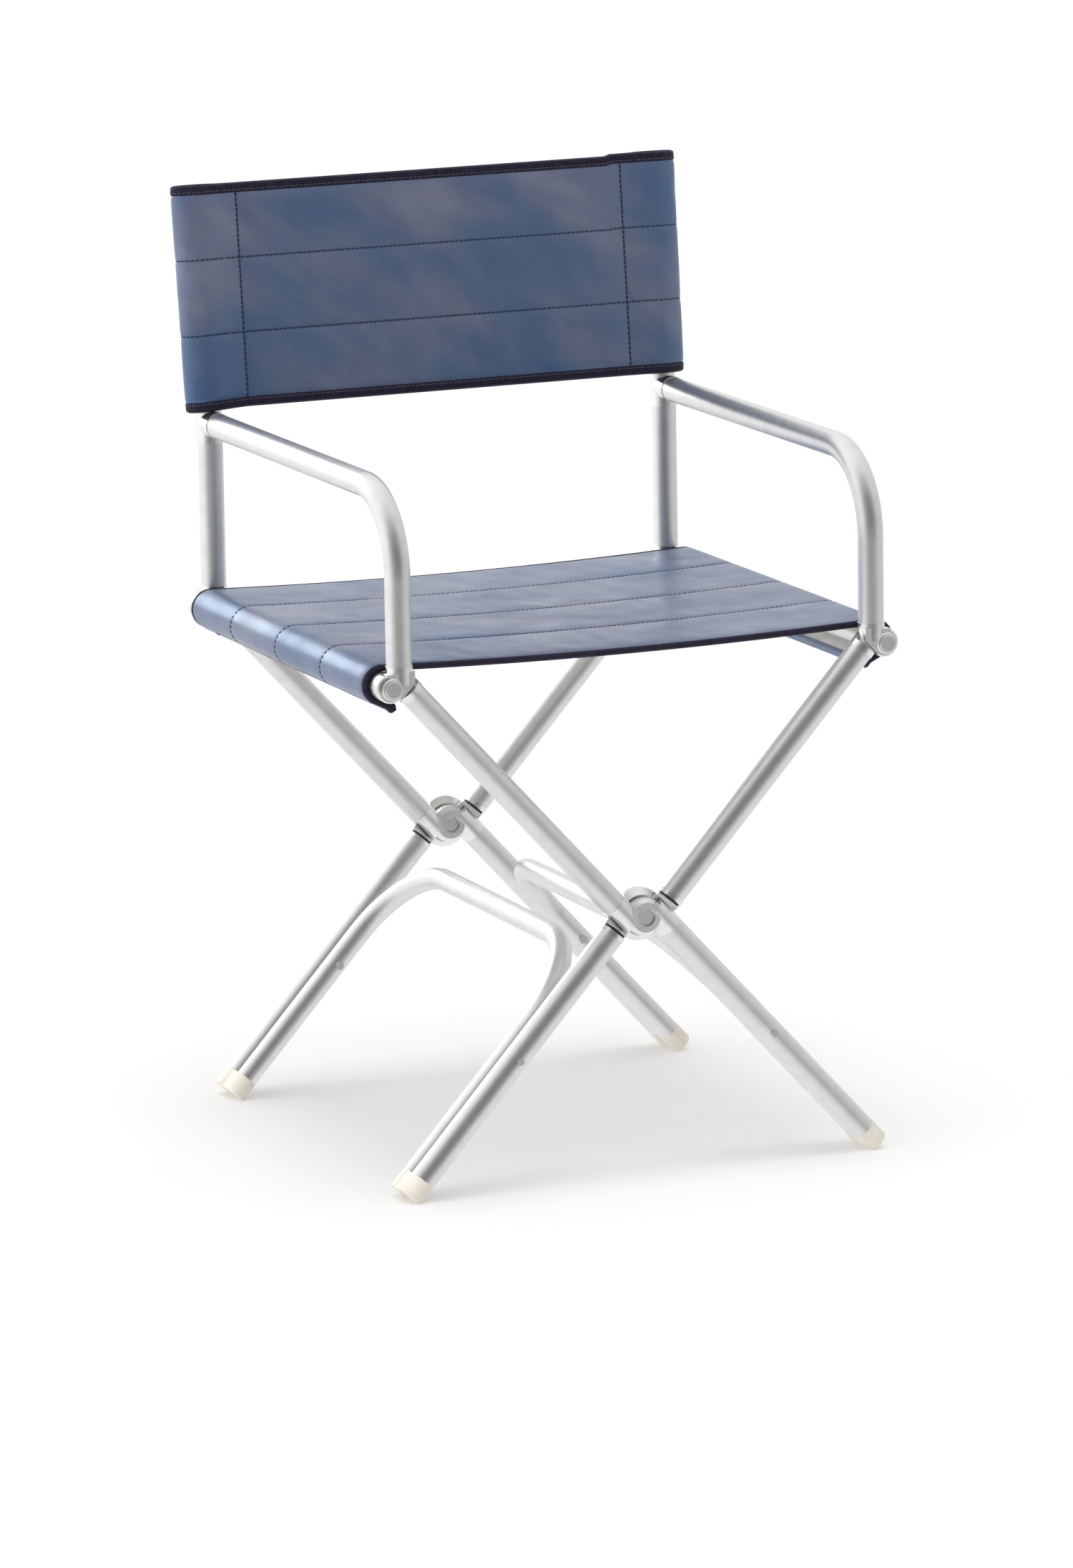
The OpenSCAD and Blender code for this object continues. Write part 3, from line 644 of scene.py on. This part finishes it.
def build_seat():
    """The seat: one settled skin over both rails, cut into the middle panel and the two wraps."""
    line, cut, hem_seam, total = seat_columns()
    right = lay_out([0.0, cut, hem_seam, total], [hem_seam], GRID_STEP)
    right_line, right_normals = along(line, right)
    mirror = np.array([-1, 1])
    middle = np.concatenate([(right_line * mirror)[:0:-1], right_line])
    normals = np.concatenate([(right_normals * mirror)[:0:-1], right_normals])
    places = np.concatenate([-right[:0:-1], right])
    inner = SEAT_HALF_Y - SEAT_BINDING + TUCK
    rows = lay_out([-inner, *SEAT_SEAMS, inner], SEAT_SEAMS, SEAT_ROW_STEP)

    row_gap, column_gap = nearest(rows, SEAT_SEAMS), nearest(np.abs(places), [hem_seam])
    edge_gap = inner - np.abs(rows)
    seam_gap = np.minimum(row_gap[:, None], column_gap[None, :])
    half = hem_half(np.abs(places), total, SEAT_THICK / 2)
    edge_dip = SEAT_THICK / 2 - SEAT_EDGE
    rounding = edge_dip * np.exp(-(edge_gap / SEAT_ROUNDING) ** 1.3)
    dip = np.maximum(seam_profile(seam_gap, SEAT_DIP), rounding[:, None])
    dip = np.minimum(dip, 0.8 * half[None, :])
    ripple = np.sin(math.pi * places[None, :] / STITCH_PITCH) ** 2
    ripple = ripple * np.exp(-row_gap / STITCH_RIPPLE)[:, None]
    height = half[None, :] - dip - PUCKER * ripple * (half[None, :] > 1 * MM)

    def lift(heights):
        x = middle[None, :, 0] + normals[None, :, 0] * heights
        z = middle[None, :, 1] + normals[None, :, 1] * heights
        y = SEAT_MIDDLE_Y + np.broadcast_to(rows[:, None], x.shape)
        return np.stack([x, y, z], axis=2)

    base = lift(height)
    outward = np.stack([normals[:, 0], 0 * normals[:, 0], normals[:, 1]], axis=1)[None]
    fixed = (seam_gap < ON_SEAM) | (edge_gap < ON_SEAM)[:, None]
    fixed |= (np.abs(places) > hem_seam)[None, :]
    top = settle(base, fixed, **SEAT_CLOTH)
    swell = ((top - base) * outward).sum(axis=2)
    calm = np.clip((cut - np.abs(places)) / (12 * MM), 0, 1)[None, :]
    under = half[None, :] - dip * np.maximum(calm, 0.15) + 0.6 * swell[::-1, ::-1] * calm
    bottom = lift(-under)

    first = int(np.argmin(np.abs(places + cut)))
    last = int(np.argmin(np.abs(places - cut)))
    spans = {"left": (0, first + 1), "middle": (first, last + 1), "right": (last, len(places))}
    made = {}
    for name, (start, end) in spans.items():
        piece = thick_patch("seat_skin_" + name, top[:, start:end], bottom[:, start:end])
        # Painted shade along the seams and the bound edges.
        gaps = np.minimum(seam_gap, edge_gap[:, None] + ON_SEAM)[:, start:end]
        paint_seam_shade(piece, np.tile(gaps.ravel(), 2))
        made[name] = dress(piece, "sling_vinyl")
        line_inside(piece, len(rows), places[start:end], total - HEM_TURN)
        sew_seat(name, top[:, start:end], bottom[:, start:end], rows, places[start:end], hem_seam)
    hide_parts("seat_wrap_left")
    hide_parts("seat_panel")
    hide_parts("seat_wrap_right")
    build_seat_bindings(middle, normals, places, spans, total)
    return made


def line_inside(piece, rows, places, hem_start):
    """Gives a seat piece's inner face the pale lining, up to where the vinyl is turned over the hem."""
    piece.data.materials.append(MATERIALS["lining"])
    columns = len(places) - 1
    first = (rows - 1) * columns
    middles = np.abs(places[:-1] + places[1:]) / 2
    for index in range(first, 2 * first):
        if middles[(index - first) % columns] < hem_start:
            piece.data.polygons[index].material_index = 1


def sew_seat(name, top, bottom, rows, places, hem_seam):
    """Stitches down the seat's seams, on both faces, for one of its pieces."""
    up, down = grid_normals(top), -grid_normals(bottom)
    if up[len(rows) // 2, len(places) // 2] @ (top - bottom)[len(rows) // 2, len(places) // 2] < 0:
        up, down = -up, -down
    seams = []
    open_part = np.abs(places) < hem_seam + 8 * MM
    for seam in SEAT_SEAMS:
        row = int(np.argmin(np.abs(rows - seam)))
        seams.append((top[row, open_part], up[row, open_part], THREAD_RADIUS))
        if name == "middle":
            seams.append((bottom[row], down[row], THREAD_RADIUS))
    if name != "middle":
        column = int(np.argmin(np.abs(np.abs(places) - hem_seam)))
        seams.append((top[:, column], up[:, column], THREAD_RADIUS))
    piece = dress(sew("seat_stitches_" + name, seams), "thread")
    carry_seat(piece, name)


def carry_seat(piece, name):
    """Lets a piece of the seat move with its side, the middle one with the left side, and gives the middle piece a
    mesh of its own.
    """
    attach(piece, "side_right" if name == "right" else "side_left")
    if name == "middle":
        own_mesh(piece)


def tape_levels(width, half):
    """Rows across a folded tape over a sling's edge: (distance from the outer edge, half height)."""
    thick = 0.6 * MM
    turned_in = [(width + 0.15 * MM, half - 0.5 * MM), (width, half + 0.45 * thick)]
    flat = [(width - 0.5 * MM, half + thick), (width * 0.5, half + thick + 0.1 * MM),
            (1.6 * MM, half + 0.7 * thick)]
    rounded = [(0.7 * MM, half * 0.72), (0.15 * MM, half * 0.38), (0.0, half * 0.12)]
    return turned_in + flat + rounded


def build_seat_bindings(middle, normals, places, spans, total):
    """Folded tape over the front and rear edges of the seat and its wraps."""
    half = hem_half(np.abs(places), total - 0.3 * MM, SEAT_EDGE)
    for name, (start, end) in spans.items():
        parts = []
        for side in (-1, 1):
            top, bottom = [], []
            for gap, level in tape_levels(SEAT_BINDING, SEAT_EDGE):
                share = min(level / SEAT_EDGE, 1)
                y = SEAT_MIDDLE_Y + side * (SEAT_HALF_Y - gap)
                tall = half[start:end] * share + max(level - SEAT_EDGE, 0)
                tall = np.minimum(tall, half[start:end] + level)
                for rows, way in ((top, 1), (bottom, -1)):
                    offset = normals[start:end] * (tall * way)[:, None]
                    point = middle[start:end] + offset
                    rows.append(np.stack([point[:, 0], np.full(len(point), y), point[:, 1]], axis=1))
            parts.append(thick_patch("tape", np.array(top), np.array(bottom)))
        piece = join("seat_binding_" + name, parts)
        dress(piece, "binding")
        carry_seat(piece, name)
        if name == "middle":
            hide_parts("seat_bindings")


def join(name, parts):
    """Joins separate closed pieces into one object."""
    vertices, faces = [], []
    for part in parts:
        first = len(vertices)
        vertices += [tuple(v.co) for v in part.data.vertices]
        faces += [tuple(first + i for i in face.vertices) for face in part.data.polygons]
        mesh = part.data
        bpy.data.objects.remove(part)
        bpy.data.meshes.remove(mesh)
    return new_object(name, vertices, faces)


# ==== the back sling ====

def back_place(x, depth, up):
    """Points of the back sling's own leaning frame in the chair's frame."""
    y = POST_Y + depth * math.cos(RECLINE) + up * math.sin(RECLINE)
    z = LEAN_Z - depth * math.sin(RECLINE) + up * math.cos(RECLINE)
    x, y, z = np.broadcast_arrays(x, y, z)
    return np.stack([x, y, z], axis=-1)


def back_right_side(front):
    """Outline of the right half of the back in plan, from the middle to the sleeve's outermost point."""
    level = BACK_FRONT if front else BACK_REAR
    sign = -1 if front else 1
    tip = sign * SLEEVE_DEEP
    panel = [(x, level) for x in np.linspace(0, BACK_SEAM_X, FLAT_POINTS)]
    rise = [(BACK_SEAM_X + share * (POST_X - BACK_SEAM_X),
             level + (tip - level) * (1 - math.cos(math.pi * share)) / 2)
            for share in np.linspace(0, 1, RISE_POINTS)[1:]]
    turn = [(POST_X + SLEEVE_WIDE * math.sin(a), sign * SLEEVE_DEEP * math.cos(a))
            for a in np.linspace(0, math.pi / 2, RISE_POINTS)[1:]]
    return panel + rise + turn


def build_back():
    """The back: one settled skin right round, cut into the middle panel and the two sleeves."""
    front, rear = back_right_side(True), back_right_side(False)
    half_loop = front + rear[-2::-1]
    loop = half_loop + [(-x, y) for x, y in half_loop[-2::-1]]
    front_length, rear_length = length_of(front), length_of(rear)
    side = front_length + rear_length

    def arc(half, x):
        """Length of a half outline from the middle out to x."""
        start = np.array(half[:FLAT_POINTS + RISE_POINTS - 2])
        return length_of([point for point in half if point[0] < x] + [(x, np.interp(x, *start.T))])

    seams = [BACK_SEAM_X, side - BACK_SEAM_X]
    cuts = [arc(front, BACK_CUT_X), side - arc(rear, BACK_CUT_X)]
    right = lay_out([0.0, seams[0], cuts[0], cuts[1], seams[1], side], seams, GRID_STEP)
    places = np.concatenate([right, 2 * side - right[-2::-1]])
    outline, normals = along(loop, places)
    normals = -normals
    all_seams = seams + [2 * side - s for s in seams]
    inner_low, inner_high = BACK_BINDING - TUCK, BACK_LENGTH - BACK_BINDING + TUCK
    rows = lay_out([inner_low, *BACK_SEAMS, inner_high], BACK_SEAMS, BACK_ROW_STEP)

    row_gap, column_gap = nearest(rows, BACK_SEAMS), nearest(places, all_seams)
    edge_gap = np.minimum(rows - inner_low, inner_high - rows)
    seam_gap = np.minimum(row_gap[:, None], column_gap[None, :])
    dip = np.maximum(seam_profile(seam_gap, BACK_DIP), seam_profile(edge_gap, BACK_EDGE_DIP)[:, None])
    ripple = np.sin(math.pi * places[None, :] / STITCH_PITCH) ** 2
    ripple = ripple * np.exp(-row_gap / STITCH_RIPPLE)[:, None]
    ripple = np.maximum(ripple, np.sin(math.pi * rows[:, None] / STITCH_PITCH) ** 2
                        * np.exp(-column_gap / STITCH_RIPPLE)[None, :])

    def lift(heights, ups):
        x = outline[None, :, 0] + normals[None, :, 0] * heights + flare(outline[:, 0], rows[:, None])
        depth = outline[None, :, 1] + normals[None, :, 1] * heights
        return back_place(x, depth, BACK_START + ups)

    ups = rows[:, None] + edge_shift(outline[:, 0], rows[:, None])
    base = lift(-dip - PUCKER * ripple, ups)
    fixed = (seam_gap < ON_SEAM) | (edge_gap < ON_SEAM)[:, None]
    fixed[:, 0] = True
    fixed[:, -1] = True
    skin = settle(base, fixed, **BACK_CLOTH)
    skin[:, -1] = skin[:, 0]
    spans = back_spans(places, cuts, side)
    made = {}
    for name, columns in spans.items():
        if name == "middle":
            front_part, rear_part = columns
            piece = thick_patch("back_skin_middle", skin[:, front_part], skin[:, rear_part])
            gaps = np.concatenate([seam_gap[:, front_part].ravel(), seam_gap[:, rear_part].ravel()])
        else:
            outer, inner = sleeve_loops(skin[:, columns], name)
            piece = ring_solid("back_skin_" + name, outer, inner)
            gaps = np.full(outer.shape[:2], 1.0)
            gaps[:, :len(columns)] = seam_gap[:, columns]
            gaps = np.concatenate([gaps.ravel(), np.full(gaps.size, 1.0)])
        # Painted shade along the seams.
        paint_seam_shade(piece, gaps)
        made[name] = dress(piece, "sling_vinyl")
        carry_back(piece, name)
    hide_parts("back_sleeve_left")
    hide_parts("back_panel")
    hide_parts("back_sleeve_right")
    sew_back(skin, rows, places, spans, all_seams)
    build_back_bindings(outline, normals, places, spans)
    return made


def flare(x, up):
    """How far the sleeves' outer sides stand out towards their tops."""
    out = np.clip((np.abs(x) - BACK_SEAM_X) / (POST_X + SLEEVE_WIDE - BACK_SEAM_X), 0, 1)
    return np.sign(x) * SLEEVE_FLARE * out ** 2 * up / BACK_LENGTH


def edge_shift(x, up):
    """How far the back is above its square place: it droops at the lower left but rises at the upper right."""
    share = up / BACK_LENGTH
    droop = -LEFT_DROOP * np.clip((-x - BACK_SEAM_X) / LEFT_DROOP_WIDTH, 0, 1) * (1 - share) ** 2
    rise = RIGHT_RISE * np.clip((x - RIGHT_RISE_START) / RIGHT_RISE_WIDTH, 0, 1) * share ** 2
    return droop + rise


def back_spans(places, cuts, side):
    """Column indices of the back's pieces: the middle's front and rear, each sleeve from front to rear."""
    def column(place):
        return int(np.argmin(np.abs(places - place)))

    total = 2 * side
    count = len(places) - 1
    right = list(range(column(cuts[0]), column(cuts[1]) + 1))
    left = list(range(column(total - cuts[1]), column(total - cuts[0]) + 1))
    front = list(range(column(total - cuts[0]), count)) + list(range(0, column(cuts[0]) + 1))
    rear = list(range(column(cuts[1]), column(total - cuts[1]) + 1))[::-1]
    return {"left": left, "middle": (front, rear), "right": right}


def sleeve_loops(skin, name):
    """Closed loops of a sleeve: outer, its settled skin and the cut's wall, and inner, the post's tunnel."""
    side = -1 if name == "left" else 1
    wall_count = 5
    shares = np.linspace(0, 1, wall_count + 2)[1:-1]
    wall = skin[:, -1:] * (1 - shares)[None, :, None] + skin[:, :1] * shares[None, :, None]
    outer = np.concatenate([skin, wall], axis=1)
    return outer, tunnel(outer, side)


def tunnel(outer, side):
    """Inner loop that matches an outer loop of a sleeve, point for point, round the post."""
    centre = back_place(side * POST_X, 0.0, 0.0)
    up = np.array([0, math.sin(RECLINE), math.cos(RECLINE)])
    deep = np.array([0, math.cos(RECLINE), -math.sin(RECLINE)])
    offset = outer - centre
    x, depth, height = offset[..., 0] * side, offset @ deep, offset @ up
    angle = np.arctan2(depth, x)
    wide = np.where(np.cos(angle) > 0, SLEEVE_WIDE - SLEEVE_WALL, TUNNEL_INNER)
    reach_x = wide * np.cos(angle)
    reach_y = (SLEEVE_DEEP - SLEEVE_WALL) * np.sin(angle)
    inner_x = side * (POST_X + reach_x)
    base = back_place(0.0, 0.0, 0.0)
    points = base + height[..., None] * up + reach_y[..., None] * deep
    points[..., 0] = inner_x
    return points


def carry_back(piece, name):
    """Lets a piece of the back move with its side, the middle one with the left side, and gives the middle piece a
    mesh of its own.
    """
    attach(piece, "side_right" if name == "right" else "side_left")
    if name == "middle":
        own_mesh(piece)


def sew_back(skin, rows, places, spans, all_seams):
    """Stitches on the front and rear of the back, for each of its pieces."""
    normals = grid_normals(skin)
    middle_row = len(rows) // 2
    if normals[middle_row, 5, 1] > 0:
        normals = -normals
    for name, columns in spans.items():
        seams = []
        parts = columns if name == "middle" else (columns,)
        for part in parts:
            for seam in BACK_SEAMS:
                row = int(np.argmin(np.abs(rows - seam)))
                seams.append((skin[row, part], normals[row, part], THREAD_RADIUS))
        if name == "middle":
            for seam in all_seams:
                column = int(np.argmin(np.abs(places - seam)))
                seams.append((skin[:, column], normals[:, column], BOLD_THREAD_RADIUS))
        piece = dress(sew("back_stitches_" + name, seams), "thread")
        carry_back(piece, name)


def tape_seam(outline, normals, up):
    """The row of stitches along the back's binding: points, normals and thread radius."""
    lifted = BACK_START + up + edge_shift(outline[:, 0], up)
    spots = outline.copy()
    spots[:, 0] += flare(outline[:, 0], up)
    points = back_place(spots[:, 0], spots[:, 1], lifted)
    ends = back_place(spots[:, 0] + normals[:, 0], spots[:, 1] + normals[:, 1], lifted)
    return points, ends - points, TAPE_THREAD_RADIUS


def build_back_bindings(outline, normals, places, spans):
    """Folded tape over the top and bottom edges of the back and its sleeves, with its row of stitches."""
    for name, columns in spans.items():
        parts, seams = [], []
        for top in (False, True):
            fronts, rears, loops = [], [], []
            for gap, level in tape_levels(BACK_BINDING, BACK_TAPE_HALF):
                offset = level - BACK_TAPE_HALF - BACK_TAPE_SINK
                up = (BACK_LENGTH - gap) if top else gap

                def row(part):
                    point = outline[part] + normals[part] * offset
                    point[:, 0] += flare(outline[part, 0], up)
                    lifted = up + edge_shift(outline[part, 0], up)
                    return back_place(point[:, 0], point[:, 1], BACK_START + lifted)

                if name == "middle":
                    fronts.append(row(columns[0]))
                    rears.append(row(columns[1]))
                else:
                    loops.append(row(columns))
            up = BACK_LENGTH - TAPE_SEAM if top else TAPE_SEAM
            for part in columns if name == "middle" else (columns,):
                seams.append(tape_seam(outline[part], normals[part], up))
            if name == "middle":
                parts.append(thick_patch("tape", np.array(fronts), np.array(rears)))
            else:
                outer, inner = sleeve_loops(np.array(loops), name)
                parts.append(ring_solid("tape", outer, inner))
        piece = join("back_binding_" + name, parts)
        dress(piece, "binding")
        carry_back(piece, name)
        carry_back(dress(sew("back_tape_stitches_" + name, seams), "tape_thread"), name)
        if name == "middle":
            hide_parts("back_bindings")
        else:
            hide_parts("bindings_" + name)


# ==== floor, light and camera ====

SKY_MATT = 0.87
# What gloss mirrors: the walls' level and its slope towards +X, +Y and +Z, and the level of the floor.
SKY_WALLS = 0.87
SKY_SLOPE = (-0.20, 0.15, 0.10)
SKY_FLOOR = 0.92
# Heights of the direction between which the floor gives way to the walls.
SKY_HORIZON = (-0.62, -0.15)
# Dark zones of the walls: azimuth, elevation, depth, inner and outer half angle.
SKY_DARK_ZONES = [(-20 * DEG, 12 * DEG, 0.78, 5 * DEG, 72 * DEG)]


def build_stage():
    """A wide pale floor that stays under the feet when the chair is folded, as the feet reach down then."""
    bpy.ops.mesh.primitive_plane_add(size=60)
    floor = bpy.context.object
    floor.name = "floor"
    floor.data.materials.append(floor_paint())
    foot = bpy.data.objects.new("foot_level", None)
    bpy.context.scene.collection.objects.link(foot)
    foot_low, foot_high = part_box("foot_front_right")
    foot.location = (foot_high.x, (foot_low.y + foot_high.y) / 2, 0)
    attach(foot, "leg_b")
    follow = floor.constraints.new("COPY_LOCATION")
    follow.target = foot
    follow.use_x = False
    follow.use_y = False
    floor.visible_glossy = False
    return floor


class Sky:
    """The studio round the chair: even light on matt surfaces, and soft dark zones for gloss to mirror."""

    def __init__(self):
        world = bpy.data.worlds.new("studio")
        bpy.context.scene.world = world
        world.use_nodes = True
        self.nodes = world.node_tree.nodes
        self.links = world.node_tree.links
        self.background = self.nodes["Background"]
        self.direction = self.nodes.new("ShaderNodeTexCoord").outputs["Generated"]

    def math(self, operation, first, second):
        node = self.nodes.new("ShaderNodeMath")
        node.operation = operation
        for socket, value in zip(node.inputs, (first, second)):
            if isinstance(value, (int, float)):
                socket.default_value = value
            else:
                self.links.new(value, socket)
        return node.outputs[0]

    def soft_step(self, value, low, high):
        """0 up to low, 1 from high on, smooth between."""
        node = self.nodes.new("ShaderNodeMapRange")
        node.interpolation_type = "SMOOTHSTEP"
        node.inputs["From Min"].default_value = low
        node.inputs["From Max"].default_value = high
        self.links.new(value, node.inputs["Value"])
        return node.outputs["Result"]

    def zone(self, azimuth, elevation, inner, outer):
        """1 within the inner angle of a direction, falling to 0 at the outer one."""
        dot = self.nodes.new("ShaderNodeVectorMath")
        dot.operation = "DOT_PRODUCT"
        self.links.new(self.direction, dot.inputs[0])
        dot.inputs[1].default_value = direction(azimuth, elevation)
        return self.soft_step(dot.outputs["Value"], math.cos(outer), math.cos(inner))


def direction(azimuth, elevation):
    """Unit vector; azimuth 0 is in front of the chair, towards -Y, and grows towards +X."""
    return Vector((math.sin(azimuth) * math.cos(elevation), -math.cos(azimuth) * math.cos(elevation),
                   math.sin(elevation)))


def build_sky():
    sky = Sky()
    split = sky.nodes.new("ShaderNodeSeparateXYZ")
    sky.links.new(sky.direction, split.inputs[0])
    value = SKY_WALLS
    for axis, slope in zip("XYZ", SKY_SLOPE):
        value = sky.math("ADD", value, sky.math("MULTIPLY", split.outputs[axis], slope))
    for azimuth, elevation, depth, inner, outer in SKY_DARK_ZONES:
        zone = sky.zone(azimuth, elevation, inner, outer)
        value = sky.math("MULTIPLY", value, sky.math("SUBTRACT", 1.0, sky.math("MULTIPLY", zone, depth)))
    walls = sky.soft_step(split.outputs["Z"], *SKY_HORIZON)
    value = sky.math("ADD", sky.math("MULTIPLY", value, walls),
                     sky.math("MULTIPLY", SKY_FLOOR, sky.math("SUBTRACT", 1.0, walls)))
    path = sky.nodes.new("ShaderNodeLightPath")
    glossy = sky.math("MULTIPLY", value, path.outputs["Is Glossy Ray"])
    matt = sky.math("MULTIPLY", SKY_MATT, sky.math("SUBTRACT", 1.0, path.outputs["Is Glossy Ray"]))
    either = sky.math("ADD", glossy, matt)
    strength = sky.math("MAXIMUM", either, path.outputs["Is Camera Ray"])
    sky.links.new(strength, sky.background.inputs["Strength"])
    sky.background.inputs["Color"].default_value = (1, 1, 1, 1)


def sun(name, azimuth, elevation, angle, strength, shadow=True, colour=(1, 1, 1)):
    data = bpy.data.lights.new(name, "SUN")
    data.angle = angle
    data.energy = strength
    data.color = colour
    light = bpy.data.objects.new(name, data)
    bpy.context.scene.collection.objects.link(light)
    light.rotation_euler = direction(azimuth, elevation).to_track_quat("Z", "Y").to_euler()
    light.location = direction(azimuth, elevation) * 3
    light.visible_glossy = False
    light.data.use_shadow = shadow
    return light


def sheen_light(name, azimuth, elevation, size, power):
    """A soft box that only gloss mirrors, for the shine on the seat and its wraps."""
    data = bpy.data.lights.new(name, "AREA")
    data.shape = "RECTANGLE"
    data.size, data.size_y = size
    data.energy = power
    light = bpy.data.objects.new(name, data)
    bpy.context.scene.collection.objects.link(light)
    light.location = Vector((0, 0, 0.55)) + direction(azimuth, elevation) * 3.0
    light.rotation_euler = direction(azimuth, elevation).to_track_quat("Z", "Y").to_euler()
    light.visible_diffuse = False
    return light


def build_light():
    build_sky()
    sun("top_light", -30 * DEG, 87 * DEG, 26 * DEG, 0.62)
    sun("left_light", -85 * DEG, 18 * DEG, 30 * DEG, 1.3, shadow=False, colour=(0.95, 0.975, 1.0))
    sheen_light("rear_left_box", -162 * DEG, 16 * DEG, (1.3, 1.2), 18)


def build_camera():
    data = bpy.data.cameras.new("photo_view")
    data.lens = CAMERA_LENS
    data.sensor_width = CAMERA_SENSOR
    data.clip_end = 100
    camera = bpy.data.objects.new("photo_view", data)
    bpy.context.scene.collection.objects.link(camera)
    back = direction(CAMERA_AZIMUTH, CAMERA_ELEVATION)
    turn = back.to_track_quat("Z", "Y").to_matrix() @ Matrix.Rotation(CAMERA_ROLL, 3, "Z")
    camera.matrix_world = Matrix.Translation(CAMERA_TARGET + back * CAMERA_DISTANCE) @ turn.to_4x4()
    bpy.context.scene.camera = camera


dress_cad_nodes()
seat = build_seat()
back = build_back()
for part_name, part in seat.items():
    carry_seat(part, part_name)
build_stage()
build_light()
build_camera()
bpy.context.scene.view_settings.view_transform = "Standard"
